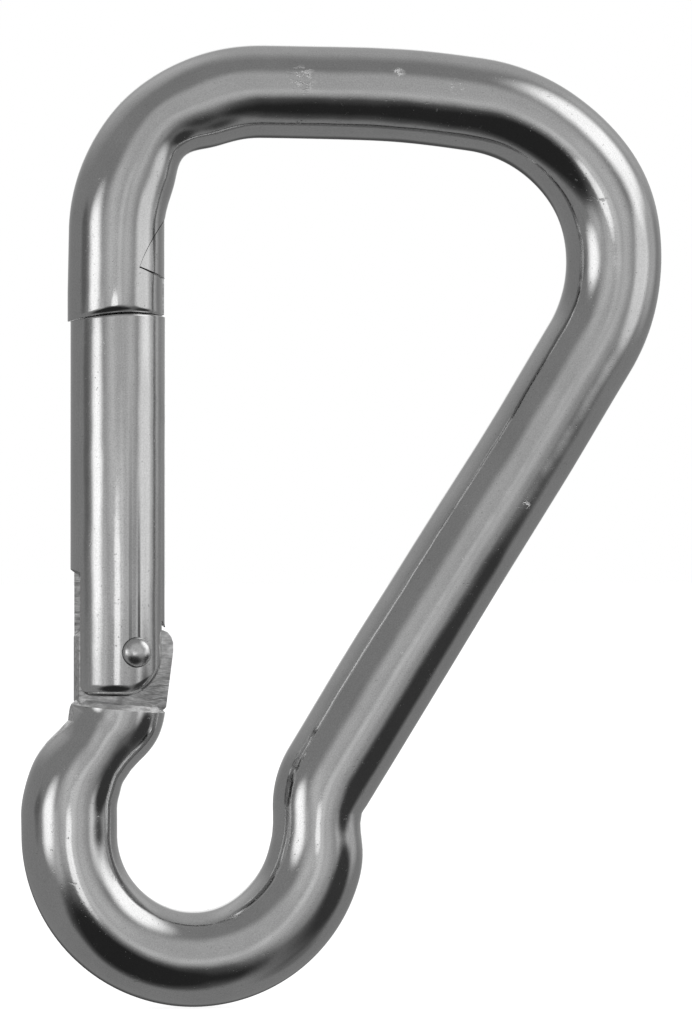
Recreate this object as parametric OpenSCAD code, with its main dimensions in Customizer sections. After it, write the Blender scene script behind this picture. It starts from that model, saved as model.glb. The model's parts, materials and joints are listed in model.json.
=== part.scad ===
// Spring gate carbine hook bent from one round rod.
// The hook stands in the XZ plane, small eye down and bow up, with the gate on the -X side.
// The origin is the centre of the small eye. +X points from the gate to the leg, +Z to the bow.

/* [Rod] */
// Diameter of the rod that the hook is bent from
rod_d = 10; // [9.8:0.1:10.2]
// Length over the rod, from the foot of the eye to the top of the bow
hook_length = 100; // [99:0.5:102]
// Clear diameter of the small eye
eye_clear_d = 16; // [15.8:0.1:16.4]
// Lean of the straight leg from upright, in degrees
leg_lean = 32; // [31.7:0.1:32.3]
// Fall of the bow from the nose corner to the shoulder, in degrees
bow_fall = 6.3; // [6:0.1:6.8]
// Centreline bend radius of the nose corner
corner_r = 14.9; // [14.6:0.1:15.2]
// Centreline bend radius of the shoulder, between the bow and the leg
shoulder_r = 16.6; // [16.3:0.1:16.8]
// Centreline bend radius where the leg leaves the eye
kick_r = 8.2; // [7.8:0.1:8.8]

/* [Neck] */
// Turn of each of the neck's two opposite bends, in degrees
neck_turn = 39; // [38:0.5:40]
// Centreline radius of the neck's lower bend
neck_low_r = 10; // [9.5:0.1:10.5]
// Centreline radius of the neck's upper bend
neck_high_r = 5.5; // [5.4:0.1:5.8]
// Straight rod between the neck's two bends
neck_run = 2.5; // [2:0.1:3]

/* [Hinge] */
// Height of the rivet's axis above the centre of the eye
pivot_z = 18.85; // [18.6:0.05:19.1]
// Distance of the rivet's axis from the gate's axis, towards the leg
pivot_offset = 1.35; // [1.2:0.05:1.5]
// Thickness of the flattened tang
tang_t = 4.3; // [4.1:0.1:4.4]
// Height of the tang's flat top above the rivet's axis
tang_rise = 2.2; // [2.1:0.05:2.3]
// Diameter of the rivet's shank
rivet_d = 2.4; // [2.2:0.1:2.6]
// Diameter of the rivet's domed heads
rivet_head_d = 3.1; // [3:0.1:3.2]
// Largest swing of the gate, in degrees
gate_swing = 38; // [30:1:38]

/* [Gate] */
// Outer diameter of the gate sleeve
gate_d = 9.8; // [9.7:0.05:9.9]
// Bore of the gate sleeve
gate_bore_d = 6.8; // [6.7:0.1:6.9]
// Height of the sleeve's foot above the centre of the eye
gate_foot_z = 14.3; // [14.2:0.05:14.4]
// Radius of the gate's top face about the rivet's axis
gate_reach = 35.35; // [35.2:0.05:35.5]
// Gap between the gate's top face and the end of the nose
nose_gap = 0.35; // [0.3:0.05:0.45]
// Width of the slot that straddles the tang
slot_w = 4.9; // [4.8:0.05:5]

/* [Latch] */
// Thickness of the tongue's web
web_t = 2.6; // [2.4:0.1:2.8]
// Gap between the tongue's head and the notch, along the slanting top
head_gap = 0.15; // [0.12:0.01:0.2]
// Gap between the tongue's head and the lip below it
lip_gap = 0.3; // [0.25:0.05:0.35]
// Gap on each side of the web in the lip's slot
web_side_gap = 0.2; // [0.15:0.05:0.3]
// Gap between the web's back and the closed end of the lip's slot
web_gap = 0.3; // [0.2:0.05:0.4]

/* [Spring] */
// Diameter of the spring's wire
wire_d = 0.8; // [0.7:0.05:0.85]
// Number of coils
coils = 9; // [8:1:11]
// Radial clearance of the plunger in the sleeve's bore
plunger_clearance = 0.08; // [0.06:0.01:0.1]

/* [Hidden] */
$fn = 96;

steel = "silver";
milled = "gainsboro";
spring_steel = "darkgray";

rod_r = rod_d / 2;
gate_r = gate_d / 2;
bore_r = gate_bore_d / 2;
eye_r = (eye_clear_d + rod_d) / 2;

// Rod in a tight bend is drawn out a little thinner, and the full rod laps into it
bend_rod_r = rod_r - 0.02;
rod_lap = 0.05;

// Length of straight rod that rises from each side of the eye before the first bend
eye_rise = 2;

// The gate's axis follows from the neck's bends
neck_bend_sum = neck_low_r + neck_high_r;
gate_x = neck_bend_sum * (1 - cos(neck_turn)) + neck_run * sin(neck_turn) - eye_r;
pivot_x = gate_x + pivot_offset;

// The leg's length and the bow's radius close the hook over the gate at the stated length:
// leg * sin(lean) - bow * sin(fall) = close_x  and  leg * cos(lean) + bow * (1 - cos(fall)) = close_z
bow_z = hook_length - eye_r - 2 * rod_r;
close_x = gate_x - eye_r - kick_r * (1 - cos(leg_lean))
    + shoulder_r * (cos(leg_lean) - sin(bow_fall)) + corner_r;
close_z = bow_z - eye_rise - kick_r * sin(leg_lean) - shoulder_r * (cos(bow_fall) + sin(leg_lean));
close_det = sin(leg_lean) * (1 - cos(bow_fall)) + sin(bow_fall) * cos(leg_lean);
leg_length = (close_x * (1 - cos(bow_fall)) + close_z * sin(bow_fall)) / close_det;
bow_r = (close_z * sin(leg_lean) - close_x * cos(leg_lean)) / close_det;

// The nose runs down from the corner past its own end, which the cut about the rivet trims
nose_low_z = 52;
nose_length = bow_z - corner_r - nose_low_z;

// Shoulder that the tang rises from: its height on the gate's axis and its slope
ledge_z = 13.5;
ledge_slope = 5.9;
// Flat milled on the outer side of the neck, its lower end, and the slope that it ends on
flank_offset = 4.75;
flank_z = 11.7;
flank_slope = 42;

tang_top_z = pivot_z + tang_rise;
tang_bore_clearance = 0.05;
// Inner end of the tang's flat top, measured from the gate's axis
tang_corner = 4.15;

// Rounded inner corner of the sleeve's foot
foot_round_r = 5.5;
foot_round_offset = 0.5;
foot_round_z = gate_foot_z + foot_round_r - 0.1;

// The tang slot ends higher on the outer side. On the inner side it clears the tang at full swing
slot_outer_z = 27.4;
slot_clearance = 0.27;
slot_inner_z = pivot_z + (tang_corner - pivot_offset) * sin(gate_swing)
    + tang_rise * cos(gate_swing) + slot_clearance;

// Rivet heads: where they seat in the sleeve's ears, their cylindrical rim, and their crown
head_seat_y = 3.6;
head_rim_y = 4.75;
head_crown = 0.8;

// Outline of the tongue's head in the XZ plane, measured from the gate's axis
head_apex = [1.67, 58.5];
head_bow = [3.27, 61.55];
head_top = [5.9, 64.8];
head_low = [5.9, 57.0];
web_back = 1.05;
web_front = 4.65;
web_top_gap = 0.4;
plug_foot_z = 47.5;
plug_top_z = 53.4;

plunger_r = bore_r - plunger_clearance;
plunger_gap = 0.05;
plunger_foot_z = tang_top_z + plunger_gap;
plunger_disc_h = 2.65;
plunger_pilot_h = 2.6;
plunger_pilot_r = 1.8;

spring_seat_z = plunger_foot_z + plunger_disc_h;
spring_mean_r = bore_r - 0.25 - wire_d / 2;
ring_sides = 8;
rings_per_coil = 14;

margin = 1;
deep = 3 * rod_d;

// ---- shared shapes ----

// A slab in the XZ plane, centred on Y = 0, with the outline that is passed to it
module slab(thickness) {
    rotate([90, 0, 0])
        linear_extrude(height = thickness, center = true)
            children();
}

// A cylinder along Y through a point of the XZ plane
module cross_bore(x, z, r, length) {
    translate([x, 0, z])
        rotate([90, 0, 0])
            cylinder(r = r, h = length, center = true);
}

// A bend that starts at the origin along +Z. A positive angle turns towards +X.
// It is drawn with section radius r, and runs on past both of its ends by lap
module bend(radius, angle, r, lap) {
    side = sign(angle);
    turn = abs(angle);
    over = lap / radius * 180 / PI;
    translate([side * radius, 0, 0])
        rotate([90, 0, 0])
            rotate_extrude(angle = turn + 2 * over, start = (side > 0 ? 180 - turn : 0) - over)
                translate([radius, 0])
                    circle(r = r);
}

// Rod laid end to end from [length or radius, turn] steps. A turn of 0 is a straight length.
// Tight bends are a hair thinner than the full rod, which laps a little way into them
module rod_run(steps, i = 0) {
    if (i < len(steps)) {
        size = steps[i][0];
        turn = steps[i][1];
        side = sign(turn);
        if (turn == 0) {
            translate([0, 0, -rod_lap])
                cylinder(r = rod_r, h = size + 2 * rod_lap);
            translate([0, 0, size])
                rod_run(steps, i + 1);
        } else {
            gentle = size > 5 * rod_d;
            bend(size, turn, gentle ? rod_r : bend_rod_r, gentle ? rod_lap : 0);
            translate([side * size, 0, 0])
                rotate([0, turn, 0])
                    translate([-side * size, 0, 0])
                        rod_run(steps, i + 1);
        }
    }
}

// ---- hook body ----

// Lower half of the small eye
module eye_half() {
    rotate([90, 0, 0])
        rotate_extrude(angle = 180, start = 180)
            translate([eye_r, 0])
                circle(r = bend_rod_r);
}

// Leg, shoulder, bow, nose corner and nose, from the eye's right side round to the gate
module leg_and_bow() {
    shoulder_turn = leg_lean + 90 - bow_fall;
    translate([eye_r, 0, 0])
        rod_run([
            [eye_rise, 0],
            [kick_r, leg_lean],
            [leg_length, 0],
            [shoulder_r, -shoulder_turn],
            [bow_r, -bow_fall],
            [corner_r, -90],
            [nose_length, 0]
        ]);
}

// S-shaped neck, from the eye's left side up to the tang's shoulder
module neck() {
    difference() {
        translate([-eye_r, 0, 0])
            rod_run([
                [eye_rise, 0],
                [neck_low_r, neck_turn],
                [neck_run, 0],
                [neck_high_r, -neck_turn],
                [margin, 0]
            ]);
        translate([gate_x, 0, ledge_z])
            rotate([0, ledge_slope, 0])
                translate([-rod_d, -rod_d, 0])
                    cube([2 * rod_d, 2 * rod_d, rod_d]);
        slab(deep)
            translate([gate_x - flank_offset, flank_z])
                polygon([[0, 0], [0, rod_d], [-rod_d, rod_d], [-rod_d, -rod_d * tan(flank_slope)]]);
    }
}

// Flattened tang that carries the rivet
module tang() {
    foot_z = ledge_z - 1.2;
    difference() {
        slab(tang_t)
            translate([gate_x, 0])
                polygon([
                    [-3.9, foot_z], [3.8, foot_z],
                    [4.75, ledge_z - 0.4], [5.4, pivot_z],
                    [5.4, tang_top_z - 1.1], [4.9, tang_top_z - 0.3],
                    [tang_corner, tang_top_z], [-3.8, tang_top_z],
                    [-4.35, tang_top_z - 0.6],
                    [-4.35, ledge_z + 0.3]
                ]);
        cross_bore(pivot_x, pivot_z, rivet_d / 2 + tang_bore_clearance, deep);
    }
}

// End of the nose: a cut about the rivet's axis, the head's notch and the web's slot
module nose_cuts() {
    slot_t = web_t + 2 * web_side_gap;
    intersection() {
        cross_bore(pivot_x, pivot_z, gate_reach + nose_gap, deep);
        translate([gate_x - rod_d, -rod_d, nose_low_z - margin])
            cube([2 * rod_d, 2 * rod_d, rod_d]);
    }
    slab(deep)
        translate([gate_x, 0])
            polygon([
                head_apex + [-head_gap, -lip_gap / 2],
                head_bow + [-head_gap, head_gap / 2],
                head_top + [0, 1.5 * head_gap],
                head_low + [0, -1.5 * lip_gap],
                head_apex + [0.3, -lip_gap]
            ]);
    translate([gate_x - web_back - web_gap, -slot_t / 2, nose_low_z - margin])
        cube([rod_d, slot_t, head_apex[1] + margin - nose_low_z]);
}

module hook_body() {
    color(steel) {
        eye_half();
        neck();
        difference() {
            leg_and_bow();
            nose_cuts();
        }
    }
    color(milled)
        tang();
}

// ---- gate ----

// Sleeve of the gate, before it is bored and slotted
module sleeve_blank() {
    intersection() {
        translate([gate_x, 0, gate_foot_z])
            cylinder(r = gate_r, h = gate_reach + margin + pivot_z - gate_foot_z);
        cross_bore(pivot_x, pivot_z, gate_reach, deep);
    }
}

// What the rounded inner corner of the foot takes away
module foot_corner() {
    corner_x = gate_x - foot_round_offset;
    difference() {
        translate([corner_x, -rod_d, gate_foot_z - margin])
            cube([rod_d, 2 * rod_d, foot_round_z - gate_foot_z + margin]);
        cross_bore(corner_x, foot_round_z, foot_round_r, deep);
    }
}

// Slot in the foot that straddles the tang and ends on a slope
module tang_slot() {
    slab(slot_w)
        polygon([
            [gate_x - rod_d, gate_foot_z - margin], [gate_x + rod_d, gate_foot_z - margin],
            [gate_x + rod_d, slot_inner_z], [gate_x + gate_r, slot_inner_z],
            [gate_x - gate_r, slot_outer_z], [gate_x - rod_d, slot_outer_z]
        ]);
}

module gate_sleeve() {
    color(steel)
        difference() {
            sleeve_blank();
            translate([gate_x, 0, gate_foot_z - margin])
                cylinder(r = bore_r, h = gate_reach + deep);
            foot_corner();
            tang_slot();
            cross_bore(pivot_x, pivot_z, rivet_d / 2, deep);
            for (side = [-1, 1])
                translate([pivot_x, side * (head_seat_y + rod_d / 2), pivot_z])
                    rotate([90, 0, 0])
                        cylinder(d = rivet_head_d, h = rod_d, center = true);
        }
}

// Tongue pressed into the gate's top, with a web through the lip and a head in the notch
module latch_tongue() {
    web_foot_z = plug_top_z - margin;
    web_step_z = pivot_z + gate_reach + 0.1;
    color(steel) {
        translate([gate_x, 0, plug_foot_z])
            cylinder(r = bore_r, h = plug_top_z - plug_foot_z);
        slab(web_t)
            translate([gate_x, 0])
                polygon([
                    [-web_back, web_foot_z], [bore_r - 0.3, web_foot_z],
                    [bore_r - 0.3, web_step_z], [web_front, web_step_z],
                    [web_front, head_apex[1] + 0.1], head_apex + [0.9, 0.1],
                    head_apex + [0, -web_top_gap], [-web_back, head_apex[1] - web_top_gap]
                ]);
        intersection() {
            slab(deep)
                translate([gate_x, 0])
                    polygon([head_apex, head_bow, head_top, head_low]);
            translate([gate_x, 0, head_low[1] - margin])
                cylinder(r = gate_r, h = rod_d);
        }
    }
}

// Rivet with a domed head on each side
module hinge_rivet() {
    head_r = rivet_head_d / 2;
    crown_r = (head_r * head_r + head_crown * head_crown) / (2 * head_crown);
    color(steel)
        translate([pivot_x, 0, pivot_z])
            for (side = [-90, 90])
                rotate([side, 0, 0]) {
                    cylinder(d = rivet_d, h = head_seat_y);
                    translate([0, 0, head_seat_y])
                        intersection() {
                            cylinder(r = head_r, h = head_rim_y + head_crown - head_seat_y + margin);
                            translate([0, 0, head_rim_y + head_crown - head_seat_y - crown_r])
                                sphere(r = crown_r);
                        }
                    translate([0, 0, head_seat_y])
                        cylinder(r = head_r, h = head_rim_y - head_seat_y);
                }
}

// ---- inside the gate ----

// Ring of the spring's wire at a step along the coil
function spring_ring(step, rise) =
    let (around = 360 * step / rings_per_coil)
    [for (k = [0 : ring_sides - 1])
        let (turn = 360 * k / ring_sides, r = spring_mean_r + wire_d / 2 * cos(turn))
        [r * cos(around), r * sin(around), rise * step + wire_d / 2 * sin(turn)]];

// Compression coil between the plunger and the foot of the latch tongue
module gate_spring() {
    steps = coils * rings_per_coil;
    height = plug_foot_z - spring_seat_z - wire_d;
    points = [for (s = [0 : steps]) each spring_ring(s, height / steps)];
    sides = [for (s = [0 : steps - 1], k = [0 : ring_sides - 1])
        let (a = s * ring_sides, b = a + ring_sides, n = (k + 1) % ring_sides)
        [a + k, b + k, b + n, a + n]];
    start_cap = [for (k = [0 : ring_sides - 1]) k];
    end_cap = [for (k = [ring_sides - 1 : -1 : 0]) steps * ring_sides + k];
    color(spring_steel)
        translate([gate_x, 0, spring_seat_z + wire_d / 2])
            polyhedron(points = points, faces = concat([start_cap], sides, [end_cap]));
}

// Plunger that bears on the tang, with a pilot for the spring
module spring_plunger() {
    color(milled)
        translate([gate_x, 0, plunger_foot_z]) {
            cylinder(r = plunger_r, h = plunger_disc_h);
            cylinder(r = plunger_pilot_r, h = plunger_disc_h + plunger_pilot_h);
        }
}

hook_body();
gate_sleeve();
latch_tongue();
hinge_rivet();
gate_spring();
spring_plunger();
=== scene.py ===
"""Looks of the carbine hook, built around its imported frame.

Shapes are worked out in millimetres in the frame's own axes and turned into metres as each mesh is
made. +Z points from the small eye to the bow, +X from the gate to the leg, and the front is -Y.
"""
import json
import math

import bpy
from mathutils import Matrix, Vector
from mathutils.bvhtree import BVHTree
from mathutils.interpolate import poly_3d_calc


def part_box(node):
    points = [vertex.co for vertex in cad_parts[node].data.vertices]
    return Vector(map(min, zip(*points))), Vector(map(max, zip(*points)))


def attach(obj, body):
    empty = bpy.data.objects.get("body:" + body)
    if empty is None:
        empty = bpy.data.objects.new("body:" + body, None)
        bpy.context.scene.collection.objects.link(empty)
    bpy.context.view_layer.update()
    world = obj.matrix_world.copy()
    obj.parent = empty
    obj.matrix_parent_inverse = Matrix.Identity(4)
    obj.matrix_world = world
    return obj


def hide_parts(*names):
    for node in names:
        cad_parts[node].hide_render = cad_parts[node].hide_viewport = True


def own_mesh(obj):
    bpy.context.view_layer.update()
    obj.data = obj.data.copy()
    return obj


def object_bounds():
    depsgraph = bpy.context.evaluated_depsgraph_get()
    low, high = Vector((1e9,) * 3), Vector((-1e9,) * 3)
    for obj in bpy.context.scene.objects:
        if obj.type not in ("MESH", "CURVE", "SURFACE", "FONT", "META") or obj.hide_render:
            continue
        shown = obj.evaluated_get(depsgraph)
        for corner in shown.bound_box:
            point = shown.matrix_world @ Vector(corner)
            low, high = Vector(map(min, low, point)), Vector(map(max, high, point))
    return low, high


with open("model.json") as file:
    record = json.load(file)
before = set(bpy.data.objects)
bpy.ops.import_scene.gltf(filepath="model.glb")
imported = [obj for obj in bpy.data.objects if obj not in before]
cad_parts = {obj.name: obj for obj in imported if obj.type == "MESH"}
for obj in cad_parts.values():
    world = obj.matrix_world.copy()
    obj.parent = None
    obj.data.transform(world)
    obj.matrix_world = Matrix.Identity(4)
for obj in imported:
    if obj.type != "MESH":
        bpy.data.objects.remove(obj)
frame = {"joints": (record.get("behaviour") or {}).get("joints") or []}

MM = 0.001
cad_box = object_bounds()


# ---- driving dimensions, in millimetres, from the frame ----

def box_mm(node):
    """Lowest and highest corner of a CAD node, in millimetres."""
    low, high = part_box(node)
    return low / MM, high / MM


hinge = next(joint for joint in frame["joints"] if joint["name"] == "gate_hinge")
hook_low, hook_high = box_mm("hook_body")
gate_low, gate_high = box_mm("gate_sleeve")
rivet_high = box_mm("hinge_rivet")[1]
spring_low, spring_high = box_mm("gate_spring")
plunger_low, plunger_high = box_mm("spring_plunger")

PIVOT_X = hinge["pos_m"][0] / MM
PIVOT_Z = hinge["pos_m"][2] / MM
ROD_R = (hook_high.y - hook_low.y) / 2
EYE_R = -hook_low.x - ROD_R
BOW_Z = hook_high.z - ROD_R
GATE_R = (gate_high.x - gate_low.x) / 2
GATE_X = (gate_high.x + gate_low.x) / 2
GATE_REACH = gate_high.z - PIVOT_Z      # from the rivet's axis to the gate's top
GATE_FOOT = gate_low.z
BORE_R = GATE_R - 1.5

# Bends of the rod: radii and lengths along its centreline, turns and slopes in degrees
EYE_RISE = 2.0          # straight rod on each side of the eye
NECK_LOW_R = 10.0       # lower and upper bend of the neck, and the straight rod between them
NECK_HIGH_R = 5.5
NECK_TURN = 39.0
NECK_RUN = 2.5
NECK_END = 1.0
KICK_R = 8.2            # from the eye into the leg
LEG_LEAN = 32.0
SHOULDER_R = 16.6       # from the leg into the bow
BOW_FALL = 6.3
CORNER_R = 14.9         # from the bow into the nose

# Inner and outer half width of the rod, at the start and at the end of each stretch
EYE_WIDTH = (4.95, 4.97)
NECK_WIDTHS = [EYE_WIDTH, (4.95, 5.0), (4.34, 4.06), (4.1, 4.75), (4.9, 4.85), (4.9, 4.85)]
HOOK_WIDTHS = [EYE_WIDTH, (4.85, 5.0), (4.92, 5.15), (5.05, 4.92), (4.95, 4.9), (4.95, 4.72), (4.8, 5.08)]
NOSE_WIDTH = (4.68, 5.2)

# Uneven places of the rod: x, z, reach, and how far the inner and the outer side move out
SWELLS = [
    (13.0, 0.8, 2.2, -0.22, -0.58),
    (9.2, -9.2, 5.0, 0.12, 0.03),
    (20.0, 16.0, 9.0, 0.15, 0.0),
    (35.0, 40.0, 9.0, -0.22, 0.14),
    (42.8, 66.0, 5.5, -0.12, 0.40),
    (22.0, 76.4, 7.0, -0.22, 0.2),
    (-3.6, 72.6, 3.3, -1.2, 0.1),
    (-12.0, 6.4, 2.0, 0.22, 0.35),
    (-8.6, 11.3, 1.7, 0.45, 0.0),
]

# Ledge under the gate, flat flank beside it, and tang
LEDGE_Z = GATE_FOOT - 0.8
LEDGE_SLOPE = 5.9
CHAMFER = 0.5
NECK_THIN = 0.13        # how much thinner than the rod the neck is at the ledge
CHAMFER_TILT = 1.4      # tilts the chamfer's cone, so that it is wider on the outer side
FLANK_OFFSET = 4.85
FLANK_Z = GATE_FOOT - 2.6
FLANK_SLOPE = 42.0
TANG_T = 4.3
TANG_TOP = PIVOT_Z + 2.2

# Nose, and the seam between it and the gate
NOSE_GAP = 0.06
NOSE_ROUND = 0.65       # depth and height of the rounding at the nose's end
NOSE_RISE = 0.9
NOSE_SIDE = 0.06        # share of the rounding that is left at the inner and outer side
NOSE_START = 3.0        # height over the seam where the nose's own section starts
SEAM_TILT = 0.035
SEAM_DROP = 0.70

# Slot in the gate's foot, and the foot's rounded inner corner
SLOT_W = 4.9
SLOT_TOP = GATE_FOOT + 13.1
SLOT_REACH = 4.32       # radius of the slot's inner end about the rivet's axis
FOOT_CORNER_R = 5.5
FOOT_CORNER_X = GATE_X - 0.5
FOOT_ROUND = 1.25
TOP_ROUND = 0.3

# Latch head, seen from the front, as x from the gate's axis and z
HEAD_APEX = (1.67, gate_high.z + 4.3)
HEAD_BOW = (3.27, gate_high.z + 7.35)
HEAD_TOP = (5.9, gate_high.z + 10.6)
HEAD_LOW = (5.9, gate_high.z + 2.8)
HEAD_SHIFT = -0.16
HEAD_GAP = 0.06
LIP_GAP = 0.25
WEB_T = 2.6
WEB_BACK = 1.05
WEB_GAP = 0.3

EDGE = 0.10             # rounding of cut edges
CUT_REACH = 9.0         # how far a cutter goes past what it cuts
CUT_T = 30.0
SIDES = 96
STRAIGHT_STEP = 1.5     # spacing of the rod's rings: length, turn in degrees, and bend radius
TURN_STEP = 2.0
RADIUS_STEP = 10.0
EYE_STEPS = 90


# ---- mesh helpers ----

def make_object(name, points, faces, material, uvs=None):
    """Object from points in millimetres. uvs has one pair for each corner of each face."""
    mesh = bpy.data.meshes.new(name)
    mesh.from_pydata([Vector(p) * MM for p in points], [], faces)
    if uvs:
        layer = mesh.uv_layers.new(name="drawn")
        for corner, uv in zip(layer.data, uvs):
            corner.uv = uv
    mesh.materials.append(material)
    mesh.shade_smooth()
    piece = bpy.data.objects.new(name, mesh)
    bpy.context.scene.collection.objects.link(piece)
    return piece


def skin(name, rings, material, loop=False):
    """Skin over rings of equal length. With loop it closes on itself, otherwise both ends are capped.

    The UV map "drawn" runs along the rings and round them, in metres.
    """
    count = len(rings[0])
    points = [point for ring in rings for point in ring]
    around = [0.0]
    for k in range(count):
        around.append(around[-1] + (Vector(rings[0][(k + 1) % count]) - Vector(rings[0][k])).length)
    along = [0.0]
    for i in range(len(rings) - 1):
        along.append(along[-1] + (Vector(rings[i + 1][0]) - Vector(rings[i][0])).length)
    closing = 1.0
    along.append(along[-1] + closing)
    faces = []
    uvs = []
    for i in range(len(rings) if loop else len(rings) - 1):
        low = i * count
        high = (i + 1) % len(rings) * count
        for k in range(count):
            n = (k + 1) % count
            faces.append((low + k, low + n, high + n, high + k))
            uvs += [
                (along[i], around[k]), (along[i], around[k + 1]),
                (along[i + 1], around[k + 1]), (along[i + 1], around[k]),
            ]
    if not loop:
        for first, order in ((0, range(count - 1, -1, -1)), ((len(rings) - 1) * count, range(count))):
            faces.append(tuple(first + k for k in order))
            uvs += [(along[0] if first == 0 else along[-2], around[k]) for k in order]
    uvs = [(u * MM, v * MM) for u, v in uvs]
    return make_object(name, points, faces, material, uvs)


def prism(name, outline, thickness, material):
    """Prism along Y, centred on Y = 0, from an outline in the XZ plane that runs anticlockwise."""
    count = len(outline)
    points = [(x, -thickness / 2, z) for x, z in outline] + [(x, thickness / 2, z) for x, z in outline]
    faces = [tuple(range(count)), tuple(range(2 * count - 1, count - 1, -1))]
    for k in range(count):
        n = (k + 1) % count
        faces.append((k, count + k, count + n, n))
    piece = make_object(name, points, faces, material)
    piece.data.shade_flat()
    return piece


def lathe(name, profile, origin, axis, material, sides=64):
    """Solid of revolution from (radius, height) pairs, along an axis from an origin."""
    turn = Vector((0, 0, 1)).rotation_difference(Vector(axis)).to_matrix()
    rings = []
    for radius, height in profile:
        ring = []
        for k in range(sides):
            angle = 2 * math.pi * k / sides
            ring.append(Vector(origin) + turn @ Vector(
                (radius * math.cos(angle), radius * math.sin(angle), height)))
        rings.append(ring)
    return skin(name, rings, material)


def settle(piece):
    """Makes the result of the piece's modifiers its mesh."""
    graph = bpy.context.evaluated_depsgraph_get()
    mesh = bpy.data.meshes.new_from_object(piece.evaluated_get(graph), depsgraph=graph)
    piece.modifiers.clear()
    old = piece.data
    piece.data = mesh
    bpy.data.meshes.remove(old)


def combine(piece, others, operation):
    """Boolean with each of the other solids in turn, which are used up. Cut faces take their material."""
    for other in others:
        modifier = piece.modifiers.new("combine", "BOOLEAN")
        modifier.operation = operation
        modifier.solver = "EXACT"
        modifier.material_mode = "TRANSFER"
        modifier.object = other
        settle(piece)
        bpy.data.objects.remove(other)


def round_edges(piece, width=EDGE, angle=38.0):
    """Rounds the edges that are sharper than an angle in degrees."""
    modifier = piece.modifiers.new("round", "BEVEL")
    modifier.limit_method = "ANGLE"
    modifier.angle_limit = math.radians(angle)
    modifier.width = width * MM
    modifier.segments = 2
    modifier.use_clamp_overlap = True
    settle(piece)


def copy_skin(piece):
    """Search tree, corner points and smooth normals of the skin before it is cut."""
    mesh = piece.data
    points = [v.co.copy() for v in mesh.vertices]
    normals = [n.vector.copy() for n in mesh.vertex_normals]
    faces = [tuple(face.vertices) for face in mesh.polygons]
    return BVHTree.FromPolygons(points, faces), points, normals, faces


def keep_normals(piece, skins=()):
    """Shades what is left of the uncut skins as before, and smooths the rest below an angle."""
    mesh = piece.data
    mesh.shade_smooth()
    mesh.set_sharp_from_angle(angle=math.radians(35))
    near = 0.004 * MM
    like = math.cos(math.radians(25))
    most_corners = 4
    normals = [n.vector.copy() for n in mesh.corner_normals]
    for face in mesh.polygons:
        for tree, points, smooth, faces in skins:
            spot, direction, index, gap = tree.find_nearest(face.center)
            if spot is None or gap > near or direction.dot(face.normal) < like:
                continue
            if len(faces[index]) > most_corners:
                continue
            for corner in face.loop_indices:
                point = mesh.vertices[mesh.loops[corner].vertex_index].co
                spot, direction, index, gap = tree.find_nearest(point)
                if direction.dot(face.normal) < like:
                    continue
                shares = poly_3d_calc([points[v] for v in faces[index]], spot)
                normal = Vector((0, 0, 0))
                for share, v in zip(shares, faces[index]):
                    normal += share * smooth[v]
                normals[corner] = normal.normalized()
            break
    mesh.normals_split_custom_set([n[:] for n in normals])


# ---- path of the rod ----

class Station:
    """A place on the rod's centreline, with its unit vector away from the inside of the hook."""

    def __init__(self, x, z, heading, outward_sign):
        self.x = x
        self.z = z
        self.out_x = outward_sign * math.cos(heading)
        self.out_z = -outward_sign * math.sin(heading)
        self.inner = ROD_R
        self.outer = ROD_R

    def ring(self):
        """Ring of points round the section, which is an ellipse between the inner and outer width."""
        half = (self.outer + self.inner) / 2
        shift = (self.outer - self.inner) / 2
        points = []
        for k in range(SIDES):
            angle = 2 * math.pi * k / SIDES
            side = shift + half * math.cos(angle)
            points.append((
                self.x + self.out_x * side,
                ROD_R * math.sin(angle),
                self.z + self.out_z * side,
            ))
        return points


def smooth_step(t):
    """Eases from 0 to 1."""
    return t * t * (3 - 2 * t)


def walk(x, z, steps, outward_sign, widths):
    """Stations from a start that heads for +Z, along [length or radius, turn in degrees] steps.

    A positive turn goes towards +X. widths holds the inner and outer half width at the start and at
    the end of each step.
    """
    heading = 0.0
    stations = []
    for number, (size, turn) in enumerate(steps):
        angle = math.radians(turn)
        side = math.copysign(1, turn)
        if turn == 0:
            count = math.ceil(size / STRAIGHT_STEP)
        else:
            count = max(6, math.ceil(abs(turn) / TURN_STEP), math.ceil(size / RADIUS_STEP))
        for i in range(0 if number == 0 else 1, count + 1):
            t = i / count
            if turn == 0:
                here = heading
                px = x + math.sin(heading) * size * t
                pz = z + math.cos(heading) * size * t
            else:
                here = heading + angle * t
                px = x + side * size * (math.cos(heading) - math.cos(here))
                pz = z - side * size * (math.sin(heading) - math.sin(here))
            station = Station(px, pz, here, outward_sign)
            ease = smooth_step(t)
            station.inner = widths[number][0] * (1 - ease) + widths[number + 1][0] * ease
            station.outer = widths[number][1] * (1 - ease) + widths[number + 1][1] * ease
            stations.append(station)
        x, z, heading = px, pz, here
    return stations


def swell(stations, x, z, reach, inner, outer):
    """Moves the rod's inner and outer side out, most at a place and fading over a distance from it."""
    for station in stations:
        fade = math.exp(-((station.x - x) ** 2 + (station.z - z) ** 2) / reach ** 2)
        station.inner += inner * fade
        station.outer += outer * fade


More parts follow.
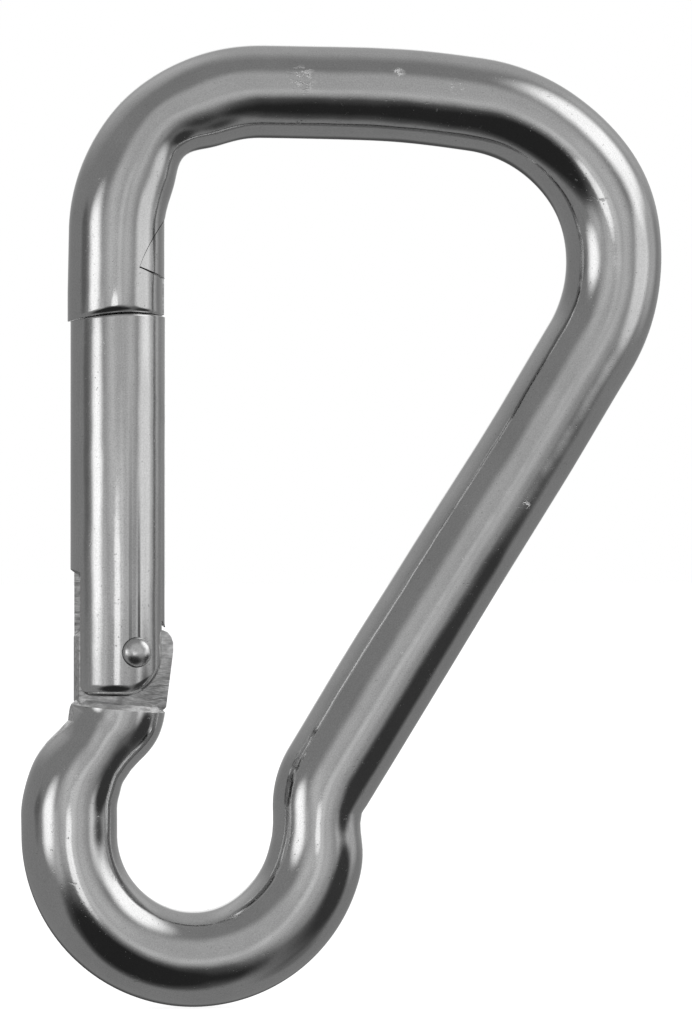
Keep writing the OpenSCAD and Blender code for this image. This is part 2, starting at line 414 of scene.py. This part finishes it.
def solve_leg():
    """Leg length and bow radius that close the hook over the gate."""
    lean = math.radians(LEG_LEAN)
    fall = math.radians(BOW_FALL)
    close_x = (GATE_X - EYE_R - KICK_R * (1 - math.cos(lean))
               + SHOULDER_R * (math.cos(lean) - math.sin(fall)) + CORNER_R)
    close_z = (BOW_Z - EYE_RISE - KICK_R * math.sin(lean)
               - SHOULDER_R * (math.cos(fall) + math.sin(lean)))
    det = math.sin(lean) * (1 - math.cos(fall)) + math.sin(fall) * math.cos(lean)
    leg = (close_x * (1 - math.cos(fall)) + close_z * math.sin(fall)) / det
    bow = (close_z * math.sin(lean) - close_x * math.cos(lean)) / det
    return leg, bow


def seam(x, y, gap=0.0):
    """Height of the joint between nose and gate: an arc about the rivet that falls towards the back."""
    arc = math.sqrt((GATE_REACH + gap) ** 2 - (x - PIVOT_X) ** 2)
    return PIVOT_Z + arc - SEAM_TILT * y - SEAM_DROP


def side_share(angle):
    """Share of a rounding at an angle round the gate's axis: full in front, least at the sides."""
    return NOSE_SIDE + (1 - NOSE_SIDE) * math.sin(angle) ** 2


# ---- shader helpers ----

class Graph:
    """Builds a node tree: each call adds a node, and an input is a constant or another node's output."""

    def __init__(self, tree):
        self.tree = tree
        tree.nodes.clear()

    def add(self, kind, inputs=None, **settings):
        node = self.tree.nodes.new(kind)
        for key, value in settings.items():
            setattr(node, key, value)
        for key, value in (inputs or {}).items():
            socket = node.inputs[key]
            if isinstance(value, bpy.types.NodeSocket):
                self.tree.links.new(value, socket)
            else:
                socket.default_value = value
        return node

    def math(self, operation, a, b=0.0, clamp=False):
        return self.add("ShaderNodeMath", {0: a, 1: b}, operation=operation, use_clamp=clamp).outputs[0]

    def vector_math(self, operation, a, b):
        return self.add("ShaderNodeVectorMath", {0: a, 1: b}, operation=operation).outputs["Value"]

    def noise(self, vector, scale, detail=3.0, roughness=0.55):
        return self.add("ShaderNodeTexNoise", {
            "Vector": vector, "Scale": scale, "Detail": detail, "Roughness": roughness,
        }).outputs["Fac"]

    def remap(self, value, low, high, to_low, to_high, smooth=False):
        return self.add("ShaderNodeMapRange", {
            "Value": value, "From Min": low, "From Max": high, "To Min": to_low, "To Max": to_high,
        }, interpolation_type="SMOOTHSTEP" if smooth else "LINEAR").outputs["Result"]

    def stretch(self, vector, x, y, z):
        return self.add("ShaderNodeMapping", {"Vector": vector, "Scale": (x, y, z)}).outputs["Vector"]

    def grey(self, value):
        return self.add("ShaderNodeCombineColor", {0: value, 1: value, 2: value}).outputs["Color"]

    def relief(self, parts):
        """Normal of a surface raised by the sum of (mask, height in millimetres) pairs."""
        height = 0.0
        for mask, size in parts:
            height = self.math("ADD", self.math("MULTIPLY", mask, size), height)
        return self.add("ShaderNodeBump", {
            "Strength": 1.0, "Distance": MM, "Height": height,
        }).outputs["Normal"]

    def metal(self, shade, rough, normal):
        """Metal surface as the material's output."""
        shader = self.add("ShaderNodeBsdfPrincipled", {
            "Base Color": self.grey(shade), "Roughness": rough, "Metallic": 1.0, "Normal": normal,
        })
        self.add("ShaderNodeOutputMaterial", {"Surface": shader.outputs["BSDF"]})


def new_material(name):
    """Material with an empty node tree, and the graph that fills it."""
    material = bpy.data.materials.new(name)
    material.use_nodes = True
    return material, Graph(material.node_tree)


# Scuffed places on the front of the hook: x and z, and how far the scuff reaches
SCUFFS = [
    (10.5, 77.9, 1.9),
    (20.7, 78.6, 0.9),
    (26.8, 77.2, 1.1),
    (22.1, 25.3, 0.6),
    (34.2, 34.1, 0.6),
]


def scuffed(g, place):
    """Mask of the scuffed places, broken up by noise."""
    front_y = -0.9 * ROD_R
    mask = 0.0
    for x, z, reach in SCUFFS:
        distance = g.vector_math("DISTANCE", place, Vector((x, front_y, z)) * MM)
        spot = g.remap(distance, 0.3 * reach * MM, reach * MM, 1.0, 0.0, smooth=True)
        mask = g.math("MAXIMUM", spot, mask)
    streaks = g.noise(g.stretch(place, 1200, 1200, 2600), 1.0, 3, 0.7)
    return g.math("MULTIPLY", mask, g.remap(streaks, 0.50, 0.60, 0, 1))


def steel(name, tone, shine, grain, drawn=0.0, wear=1.0, scuffs=False):
    """Stainless steel. tone is its grey, shine its roughness, grain the height of its fine grain in
    millimetres, drawn the strength of lines along the rod, and wear the strength of nicks and rubs."""
    material, g = new_material(name)
    place = g.add("ShaderNodeTexCoord").outputs["Object"]
    drawn_map = g.add("ShaderNodeUVMap", uv_map="drawn").outputs["UV"]

    cloudy = g.noise(place, 160, 4)
    broad_waves = g.noise(place, 170, 1, 0.5)
    small_waves = g.noise(place, 420, 2, 0.5)
    fine = g.noise(place, 7000, 2, 0.6)
    pits = g.remap(g.noise(place, 2600, 2, 0.7), 0.66, 0.74, 0, 1)
    rubs = g.remap(g.noise(g.stretch(place, 420, 420, 1100), 1.0, 4, 0.75), 0.66, 0.74, 0, wear)
    lines = g.noise(g.stretch(drawn_map, 150, 9000, 1), 1.0, 2, 0.6)
    broad_lines = g.noise(g.stretch(drawn_map, 40, 1800, 1), 1.0, 2, 0.5)

    shade = g.remap(cloudy, 0.3, 0.7, 0.95 * tone, 1.05 * tone)
    shade = g.math("MULTIPLY", shade, g.remap(fine, 0.3, 0.7, 0.90, 1.10))
    shade = g.math("SUBTRACT", shade, g.math("MULTIPLY", pits, 0.22 * wear * tone))
    shade = g.math("ADD", shade, g.math("MULTIPLY", g.math("SUBTRACT", lines, 0.5), 0.25 * drawn))

    rough = g.remap(cloudy, 0.3, 0.7, 0.8 * shine, 1.2 * shine)
    rough = g.math("ADD", rough, g.math("MULTIPLY", g.math("SUBTRACT", fine, 0.5), 0.35 * shine))
    rough = g.math("ADD", rough, g.math("MULTIPLY", pits, 0.25 * wear), clamp=True)
    rough = g.math("ADD", rough, g.math("MULTIPLY", rubs, 0.22), clamp=True)

    relief = [
        (broad_waves, 0.10), (small_waves, 0.010), (fine, grain),
        (lines, 0.0009 * drawn), (broad_lines, 0.002 * drawn),
        (rubs, -0.006), (pits, -0.004 * wear),
    ]
    if scuffs:
        marks = scuffed(g, place)
        shade = g.math("ADD", shade, g.math("MULTIPLY", marks, 0.35), clamp=True)
        rough = g.math("ADD", rough, g.math("MULTIPLY", marks, 0.35), clamp=True)
        relief.append((marks, -0.03))
    g.metal(shade, rough, g.relief(relief))
    return material


def milled_steel(name, tone):
    """Rough cut steel with slanting tool marks, brighter on its high spots."""
    material, g = new_material(name)
    place = g.add("ShaderNodeTexCoord").outputs["Object"]
    turned = g.add("ShaderNodeMapping", {
        "Vector": place, "Rotation": (0, math.radians(35), 0), "Scale": (700, 900, 3200),
    }).outputs["Vector"]
    marks = g.noise(turned, 1.0, 3, 0.6)
    blotch = g.noise(place, 900, 3, 0.6)
    shade = g.remap(marks, 0.3, 0.7, 0.6 * tone, 1.2 * tone)
    shade = g.math("MULTIPLY", shade, g.remap(blotch, 0.3, 0.7, 0.75, 1.2), clamp=True)
    rough = g.remap(blotch, 0.3, 0.7, 0.5, 0.3)
    g.metal(shade, rough, g.relief([(marks, 0.05), (blotch, 0.04)]))
    return material


polished = steel("polished_steel", 0.61, 0.095, grain=0.0016, drawn=0.3, scuffs=True)
tube_steel = steel("tube_steel", 0.63, 0.115, grain=0.0016, drawn=0.45, wear=0.8)
rivet_steel = steel("rivet_steel", 0.68, 0.22, grain=0.0030, wear=0.8)
spring_steel = steel("spring_steel", 0.42, 0.24, grain=0.0015, drawn=0.5)
turned_steel = steel("turned_steel", 0.50, 0.26, grain=0.002, drawn=1.2)
milled = milled_steel("milled_steel", 0.72)
cut_steel = milled_steel("cut_steel", 1.0)


# ---- hook body ----

def bowed_line(a, b, c, count=10):
    """Points of the parabola through three points."""
    points = []
    for i in range(count + 1):
        t = i / count
        wa = (2 * t - 1) * (t - 1)
        wb = 4 * t * (1 - t)
        wc = t * (2 * t - 1)
        points.append((wa * a[0] + wb * b[0] + wc * c[0], wa * a[1] + wb * b[1] + wc * c[1]))
    return points


def rod_stations():
    """Stations from the top of the neck, round the eye, up the leg and over the bow to the nose."""
    neck = walk(-EYE_R, 0, [
        (EYE_RISE, 0), (NECK_LOW_R, NECK_TURN), (NECK_RUN, 0), (NECK_HIGH_R, -NECK_TURN), (NECK_END, 0),
    ], -1, NECK_WIDTHS)

    leg, bow = solve_leg()
    shoulder = LEG_LEAN + 90 - BOW_FALL
    main = walk(EYE_R, 0, [
        (EYE_RISE, 0), (KICK_R, LEG_LEAN), (leg, 0), (SHOULDER_R, -shoulder),
        (bow, -BOW_FALL), (CORNER_R, -90),
    ], 1, HOOK_WIDTHS)

    eye = []
    for i in range(1, EYE_STEPS):
        angle = math.pi * i / EYE_STEPS
        station = Station(-EYE_R * math.cos(angle), -EYE_R * math.sin(angle), 0, 1)
        station.out_x = -math.cos(angle)
        station.out_z = -math.sin(angle)
        station.inner, station.outer = EYE_WIDTH
        eye.append(station)

    stations = list(reversed(neck)) + eye + main
    for place in SWELLS:
        swell(stations, *place)
    return stations


def rounding(depth, height, steps):
    """Quarter ellipse from a side to an end, as (inset, distance from the end) pairs."""
    turns = [math.pi / 2 * i / steps for i in range(steps + 1)]
    return [(depth * (1 - math.cos(turn)), height * (1 - math.sin(turn))) for turn in turns]


def nose_rings():
    """Rings of the nose down to its rounded end, which follows the seam."""
    inner, outer = NOSE_WIDTH
    half = (inner + outer) / 2
    shift = (outer - inner) / 2
    profile = [(0.0, NOSE_START)] + rounding(NOSE_ROUND, NOSE_RISE, 6)
    profile += [(half * 0.5, 0.0), (half * 0.97, 0.0)]
    rings = []
    for inset, rise in profile:
        ring = []
        for k in range(SIDES):
            angle = 2 * math.pi * k / SIDES
            share = side_share(angle)
            x = GATE_X - shift - (half - inset * share) * math.cos(angle)
            y = ROD_R * (1 - inset * share / half) * math.sin(angle)
            lift = rise if rise == NOSE_START else rise * share
            ring.append((x, y, seam(x, y, NOSE_GAP) + lift))
        rings.append(ring)
    return rings


def ledge_height(x):
    """Height of the sloping ledge."""
    return LEDGE_Z - (x - GATE_X) * math.tan(math.radians(LEDGE_SLOPE))


def ledge_chamfer(neck_x):
    """Cone-shaped cutter that chamfers the rim of the ledge, more on the outer side."""
    axis = Vector((math.tan(math.radians(LEDGE_SLOPE - CHAMFER_TILT)), 0, 1)).normalized()
    turn = Vector((0, 0, 1)).rotation_difference(axis).to_matrix()
    origin = Vector((neck_x, 0, ledge_height(neck_x)))
    rim_r = ROD_R - NECK_THIN - CHAMFER
    rings = []
    for radius, height in ((rim_r + 3, -3), (rim_r + 3, 1), (rim_r - 1, 1)):
        ring = []
        for k in range(SIDES):
            angle = 2 * math.pi * k / SIDES
            place = Vector((radius * math.cos(angle), radius * math.sin(angle), height))
            ring.append(origin + turn @ place)
        rings.append(ring)
    return skin("chamfer", rings, cut_steel, loop=True)


def notch_cutter():
    """Cutter for the notch in the nose, a little larger than the latch head."""
    roof = bowed_line(
        (HEAD_APEX[0] - HEAD_GAP, HEAD_APEX[1] - LIP_GAP / 2),
        (HEAD_BOW[0] - HEAD_GAP, HEAD_BOW[1] + HEAD_GAP / 2),
        (HEAD_TOP[0], HEAD_TOP[1] + 1.5 * HEAD_GAP))
    floor = [(HEAD_LOW[0], HEAD_LOW[1] - 1.5 * LIP_GAP), (HEAD_APEX[0] + 0.3, HEAD_APEX[1] - LIP_GAP)]
    outline = [(GATE_X + x, z) for x, z in roof + floor]
    return prism("notch", list(reversed(outline)), CUT_T, milled)


def web_slot_cutter():
    """Cutter for the slot in the lip that lets the latch's web through."""
    back = GATE_X - WEB_BACK - WEB_GAP
    front = GATE_X + CUT_REACH
    top = HEAD_APEX[1]
    low = top - CUT_REACH
    return prism("slot", [(back, low), (front, low), (front, top), (back, top)], WEB_T + 0.4, milled)


def ledge_cutter():
    """Cutter that ends the neck in the sloping ledge."""
    left = GATE_X - CUT_REACH
    right = GATE_X + CUT_REACH
    top = LEDGE_Z + CUT_REACH
    outline = [(left, ledge_height(left)), (right, ledge_height(right)), (right, top), (left, top)]
    return prism("ledge", outline, CUT_T, milled)


def flank_cutter():
    """Cutter for the flat flank on the outer side of the ledge."""
    right = GATE_X - FLANK_OFFSET
    left = right - CUT_REACH
    top = FLANK_Z + CUT_REACH
    low_left = FLANK_Z - CUT_REACH * math.tan(math.radians(FLANK_SLOPE))
    return prism("flank", [(right, FLANK_Z), (right, top), (left, top), (left, low_left)], CUT_T, milled)


def build_hook():
    """The bent rod, with the notch and the slot in its nose and the ledge under the gate."""
    stations = rod_stations()
    rings = [station.ring() for station in stations]
    hook = skin("hook_rod", rings + nose_rings(), polished)
    uncut = copy_skin(hook)
    cutters = [
        notch_cutter(), web_slot_cutter(), ledge_cutter(), flank_cutter(), ledge_chamfer(stations[0].x),
    ]
    combine(hook, cutters, "DIFFERENCE")
    round_edges(hook)
    keep_normals(hook, [uncut])
    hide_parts("hook_body")
    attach(hook, "hook")


def build_tang():
    """Flattened tang that stands on the ledge and carries the rivet."""
    outline = [(GATE_X + x, z) for x, z in (
        (-3.9, LEDGE_Z - 1.2), (3.8, LEDGE_Z - 1.2), (4.75, LEDGE_Z - 0.4), (5.5, PIVOT_Z),
        (5.5, PIVOT_Z + 0.9), (5.3, PIVOT_Z + 1.5), (4.95, PIVOT_Z + 2.0), (4.5, TANG_TOP),
        (-3.8, TANG_TOP), (-4.35, TANG_TOP - 0.6), (-4.35, LEDGE_Z + 0.3))]
    tang = prism("hook_tang", outline, TANG_T, milled)
    round_edges(tang, 0.12, 30)
    keep_normals(tang)
    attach(tang, "hook")


# ---- gate ----

def foot_height(x, y):
    """Height of the sleeve's foot, which is rounded up on its inner side."""
    if x <= FOOT_CORNER_X:
        return GATE_FOOT
    drop = 0.1
    across = min(x - FOOT_CORNER_X, FOOT_CORNER_R)
    rise = FOOT_CORNER_R - drop - math.sqrt(FOOT_CORNER_R ** 2 - across ** 2)
    return GATE_FOOT + max(0.0, rise)


def tube_ring(radius, height, inset=0.0, lift=0.0):
    """Ring round the gate's axis at a height that depends on the place.

    At its top the tube is rounded less at the sides: inset and lift shrink and lower it there.
    """
    ring = []
    for k in range(SIDES):
        angle = 2 * math.pi * (k + 0.5) / SIDES
        share = side_share(angle)
        x = GATE_X + (radius - inset * share) * math.cos(angle)
        y = (radius - inset * share) * math.sin(angle)
        ring.append((x, y, height(x, y) + lift * share))
    return ring


def foot_slot_cutter():
    """Cutter for the slot in the sleeve's foot that straddles the tang and lets it swing."""
    left = GATE_X - CUT_REACH
    right = GATE_X + CUT_REACH
    low = GATE_FOOT - 2
    outline = [(left, low), (right, low), (right, PIVOT_Z)]
    for degrees in range(0, 70, 5):
        angle = math.radians(degrees)
        outline.append((PIVOT_X + SLOT_REACH * math.cos(angle), PIVOT_Z + SLOT_REACH * math.sin(angle)))
    outline += [(GATE_X - GATE_R, SLOT_TOP), (left, SLOT_TOP)]
    return prism("slot", outline, SLOT_W, milled)


def build_sleeve():
    """Tube of the gate, with its slotted foot and the counterbores under the rivet's heads."""
    rings = []
    for inset, lift in reversed(rounding(FOOT_ROUND, FOOT_ROUND, 5)):
        rings.append(tube_ring(GATE_R - inset, lambda x, y, lift=lift: foot_height(x, y) + lift))
    for inset, lift in rounding(TOP_ROUND, TOP_ROUND, 5):
        rings.append(tube_ring(GATE_R, seam, inset, -lift))
    rings.append(tube_ring(BORE_R, seam))
    rings.append(tube_ring(BORE_R, foot_height))
    sleeve = skin("gate_tube", rings, tube_steel, loop=True)
    uncut = copy_skin(sleeve)

    bore_r = 1.57
    bore_y = 3.9
    cutters = [foot_slot_cutter()]
    for side in (-1, 1):
        cutters.append(lathe(
            "counterbore", [(bore_r, 0), (bore_r, 4)], (PIVOT_X, side * bore_y, PIVOT_Z),
            (0, side, 0), rivet_steel, 48))
    combine(sleeve, cutters, "DIFFERENCE")
    round_edges(sleeve)
    keep_normals(sleeve, [uncut])
    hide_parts("gate_sleeve")
    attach(sleeve, "gate")


def latch_head():
    """Head that fills the notch: its side view cut out of a barrel as thick as the rod.

    The barrel's extra rings keep the slanted shading of its ends off the head.
    """
    outline = [(GATE_X + x, z) for x, z in bowed_line(HEAD_APEX, HEAD_BOW, HEAD_TOP) + [HEAD_LOW]]
    block_t = 12
    head = prism("latch_head", list(reversed(outline)), block_t, polished)
    heights = (HEAD_LOW[1] - 3, HEAD_LOW[1] - 1, HEAD_TOP[1] + 1, HEAD_TOP[1] + 3)
    barrel = lathe("barrel", [(ROD_R, height) for height in heights],
                   (GATE_X + HEAD_SHIFT, 0, 0), (0, 0, 1), polished, SIDES)
    uncut = copy_skin(barrel)
    combine(head, [barrel], "INTERSECT")
    round_edges(head)
    keep_normals(head, [uncut])
    return head


def latch_web():
    """Flat web between the head and the plug, with a shoulder on the sleeve's rim."""
    front = 3.1
    shoulder = 4.65
    low = gate_high.z - 1.8
    rim = gate_high.z + 0.1 - SEAM_DROP
    apex_x, apex_z = HEAD_APEX
    outline = [(GATE_X + x, z) for x, z in (
        (-WEB_BACK, low), (front, low), (front, rim), (shoulder, rim), (shoulder, apex_z + 0.1),
        (apex_x + 0.9, apex_z + 0.1), (apex_x, apex_z - 0.4), (-WEB_BACK, apex_z - 0.4))]
    web = prism("latch_web", outline, WEB_T, milled)
    round_edges(web, 0.1, 20)
    keep_normals(web)
    return web


def latch_plug():
    """Round plug that holds the tongue in the sleeve's bore and carries the spring."""
    radius = BORE_R - 0.01
    core = 0.3
    low = spring_high.z
    top = gate_high.z - 1.5
    profile = [(core, low), (radius - 0.4, low), (radius, low + 0.4), (radius, top - 0.3),
               (radius - 0.3, top), (core, top)]
    plug = lathe("latch_plug", profile, (GATE_X, 0, 0), (0, 0, 1), turned_steel)
    keep_normals(plug)
    return plug


def build_tongue():
    """Head that fills the notch, with its web through the lip, and the plug in the sleeve."""
    head = latch_head()
    web = latch_web()
    plug = latch_plug()
    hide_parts("latch_tongue")
    for piece in (head, web, plug):
        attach(piece, "gate")


def build_rivet():
    """Domed head on each side of the shank."""
    shank_r = 1.2
    head_r = 1.55
    under_y = 3.7
    crown = 0.95
    rim_y = rivet_high.y - crown
    dome_steps = 12
    for side, name in ((-1, "rivet_front"), (1, "rivet_back")):
        profile = [(0.2, 0), (shank_r, 0), (shank_r, under_y), (head_r - 0.1, under_y),
                   (head_r, under_y + 0.1)]
        for i in range(dome_steps + 1):
            turn = math.pi / 2 * i / dome_steps
            profile.append((max(0.02, head_r * math.cos(turn)), rim_y + crown * math.sin(turn)))
        rivet = lathe(name, profile, (PIVOT_X, 0, PIVOT_Z), (0, side, 0), rivet_steel)
        keep_normals(rivet)
        if side < 0:
            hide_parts("hinge_rivet")
        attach(rivet, "gate")


# ---- inside the gate ----

def build_spring():
    """Compression coil with closed ends, which stands on the plunger."""
    wire_r = 0.4
    coils = 9
    mean_r = BORE_R - 0.25 - wire_r
    per_coil = 36
    wire_sides = 12
    total = coils * per_coil
    closed = 0.9 * per_coil
    least_rise = 0.28
    rises = []
    for i in range(total + 1):
        edge = min(i, total - i) / closed
        rises.append(least_rise + (1 - least_rise) * smooth_step(min(1.0, edge)))
    whole = sum(rises[:-1])
    height = spring_low.z + wire_r
    room = spring_high.z - spring_low.z - 2 * wire_r
    rings = []
    for i in range(total + 1):
        around = 2 * math.pi * i / per_coil
        radial = Vector((math.cos(around), math.sin(around), 0))
        centre = Vector((GATE_X, 0, height)) + radial * mean_r
        ring = []
        for k in range(wire_sides):
            turn = 2 * math.pi * k / wire_sides
            rise = Vector((0, 0, wire_r * math.sin(turn)))
            ring.append(centre + radial * wire_r * math.cos(turn) + rise)
        rings.append(ring)
        height += rises[i] * room / whole
    spring = skin("spring_coil", list(reversed(rings)), spring_steel)
    keep_normals(spring)
    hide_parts("gate_spring")
    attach(spring, "gate")
    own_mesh(spring)


def build_plunger():
    """Plunger with a rounded foot, and a pilot that centres the spring."""
    foot = plunger_low.z
    body_r = (plunger_high.x - plunger_low.x) / 2
    disc = spring_low.z
    pilot_r = 1.8
    core = 0.15
    profile = [
        (core, foot), (body_r - 0.8, foot), (body_r - 0.3, foot + 0.2), (body_r, foot + 0.55),
        (body_r, disc - 0.15), (body_r - 0.15, disc), (pilot_r + 0.1, disc), (pilot_r, disc + 0.1),
        (pilot_r, plunger_high.z - 0.4), (pilot_r - 0.4, plunger_high.z), (core, plunger_high.z),
    ]
    plunger = lathe("plunger_turned", profile, (GATE_X, 0, 0), (0, 0, 1), turned_steel)
    keep_normals(plunger)
    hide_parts("spring_plunger")
    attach(plunger, "plunger")


build_hook()
build_tang()
build_sleeve()
build_tongue()
build_rivet()
build_spring()
build_plunger()


# ---- camera ----

YAW = math.radians(9.5)
CAMERA_FAR = 0.70
VIEW_HALF = 1.0647 * (cad_box[1][2] - cad_box[0][2]) / 2
VIEW_SHIFT = Vector((0.00028, 0, 0.00125))
TARGET = (Vector(cad_box[0]) + Vector(cad_box[1])) / 2 + VIEW_SHIFT

to_camera = Vector((-math.sin(YAW), -math.cos(YAW), 0))
camera_right = Vector((math.cos(YAW), -math.sin(YAW), 0))
camera_up = Vector((0, 0, 1))

camera_data = bpy.data.cameras.new("camera")
camera_data.sensor_fit = "VERTICAL"
camera_data.sensor_height = 24
camera_data.lens = camera_data.sensor_height / 2 * CAMERA_FAR / VIEW_HALF
camera_data.clip_start = 0.01
camera_data.clip_end = 50
camera = bpy.data.objects.new("camera", camera_data)
camera.location = TARGET + to_camera * CAMERA_FAR
camera.rotation_euler = (TARGET - camera.location).to_track_quat("-Z", "Y").to_euler()
bpy.context.scene.collection.objects.link(camera)
bpy.context.scene.camera = camera


# ---- floor and studio ----

def build_floor():
    """Plain pale floor under the eye. Reflections see the studio instead of it."""
    material, g = new_material("pale_floor")
    place = g.add("ShaderNodeTexCoord").outputs["Object"]
    shade = g.remap(g.noise(place, 60, 3), 0.3, 0.7, 0.50, 0.54)
    shader = g.add("ShaderNodeBsdfPrincipled", {
        "Base Color": g.grey(shade), "Roughness": 0.9,
        "Emission Color": (1, 1, 1, 1), "Emission Strength": 0.88,
    })
    g.add("ShaderNodeOutputMaterial", {"Surface": shader.outputs["BSDF"]})
    half = 4000
    z = hook_low.z - 0.05
    floor = make_object(
        "floor", [(-half, -half, z), (half, -half, z), (half, half, z), (-half, half, z)],
        [(0, 1, 2, 3)], material)
    floor.visible_glossy = False


def from_camera(theta, phi):
    """Direction theta degrees from the camera's, towards phi degrees from its right, anticlockwise."""
    theta = math.radians(theta)
    phi = math.radians(phi)
    across = camera_right * math.cos(phi) + camera_up * math.sin(phi)
    return to_camera * math.cos(theta) + across * math.sin(theta)


# Level of the studio, and its soft patches of light or dark: theta, phi, radius of the full
# patch, radius where it has faded out, all in degrees, and strength
STUDIO_LEVEL = 0.27
PATCHES = [
    (140, 80, 25, 60, 0.20),    # backdrop, brighter above
    (115, 125, 12, 34, 0.12),
    (20, 60, 22, 42, 0.24),     # room in front, above and to the right
    (20, 180, 8, 25, 0.17),     # room in front, left
    (7, -88, 5, 9.5, 0.85),     # window behind the camera
    (11, -12, 2, 11, 0.26),
    (51, 178, 5, 20, 1.25),     # softbox on the left
    (36, -163, 4, 16, 0.22),
    (82, 176, 4, 13, -0.12),
    (80, 36, 12, 32, 1.25),     # key softbox on the right
    (71, -2, 11, 25, 0.65),
    (102, 5, 8, 26, 0.26),
    (115, 35, 8, 28, 0.12),
    (38, -5, 10, 24, 0.12),
    (46, -96, 30, 42, -0.16),   # dark below
    (46, -98, 18, 38, -0.10),
    (66, -38, 12, 32, -0.10),
    (93, -48, 6, 18, -0.10),
    (165, 100, 8, 20, 0.7),     # softboxes and dark behind the object
    (172, -20, 4, 12, 0.7),
    (160, -110, 10, 26, -0.18),
]
STUDIO_LEAST = 0.025


def build_studio():
    """World that the camera sees as plain white, and reflections as a studio with soft lights."""
    world = bpy.data.worlds.new("studio")
    world.use_nodes = True
    g = Graph(world.node_tree)
    direction = g.add("ShaderNodeTexCoord").outputs["Generated"]
    total = STUDIO_LEVEL
    for theta, phi, full, fade, strength in PATCHES:
        angle = g.math("ARCCOSINE", g.vector_math("DOT_PRODUCT", direction, from_camera(theta, phi)))
        amount = g.remap(angle, math.radians(full), math.radians(fade), strength, 0.0, smooth=True)
        total = g.math("ADD", total, amount)
    level = g.math("MAXIMUM", total, STUDIO_LEAST)
    seen = g.add("ShaderNodeLightPath").outputs["Is Camera Ray"]
    studio = g.add("ShaderNodeBackground", {"Color": g.grey(level), "Strength": 1.0}).outputs[0]
    plain = g.add("ShaderNodeBackground", {"Color": (1, 1, 1, 1), "Strength": 1.0}).outputs[0]
    mixed = g.add("ShaderNodeMixShader", {0: seen, 1: studio, 2: plain}).outputs[0]
    g.add("ShaderNodeOutputWorld", {"Surface": mixed})
    bpy.context.scene.world = world


def build_flag():
    """Dark soft-edged card at the lower right, which only reflections see."""
    start = Vector((22, 0, 12))
    distance = 90
    half = 58
    centre = start + from_camera(72, -30) * distance
    face = (start - centre).normalized()
    across = camera_up.cross(face).normalized()
    upward = face.cross(across)
    corners = [centre + across * (u * half) + upward * (v * half)
               for u, v in ((-1, -1), (1, -1), (1, 1), (-1, 1))]
    material, g = new_material("flag")
    place = g.add("ShaderNodeUVMap", uv_map="drawn").outputs["UV"]
    off_middle = g.vector_math("DISTANCE", place, (0.5, 0.5, 0))
    solid = g.remap(off_middle, 0.22, 0.5, 1.0, 0.0, smooth=True)
    dark = g.add("ShaderNodeEmission", {"Color": (0.05, 0.05, 0.05, 1), "Strength": 1.0}).outputs[0]
    clear = g.add("ShaderNodeBsdfTransparent").outputs[0]
    surface = g.add("ShaderNodeMixShader", {0: solid, 1: clear, 2: dark}).outputs[0]
    g.add("ShaderNodeOutputMaterial", {"Surface": surface})
    flag = make_object("flag", corners, [(0, 1, 2, 3)], material, [(0, 0), (1, 0), (1, 1), (0, 1)])
    flag.visible_camera = False
    flag.visible_diffuse = False
    flag.visible_shadow = False


build_floor()
build_studio()
build_flag()
bpy.context.scene.view_settings.view_transform = "Standard"
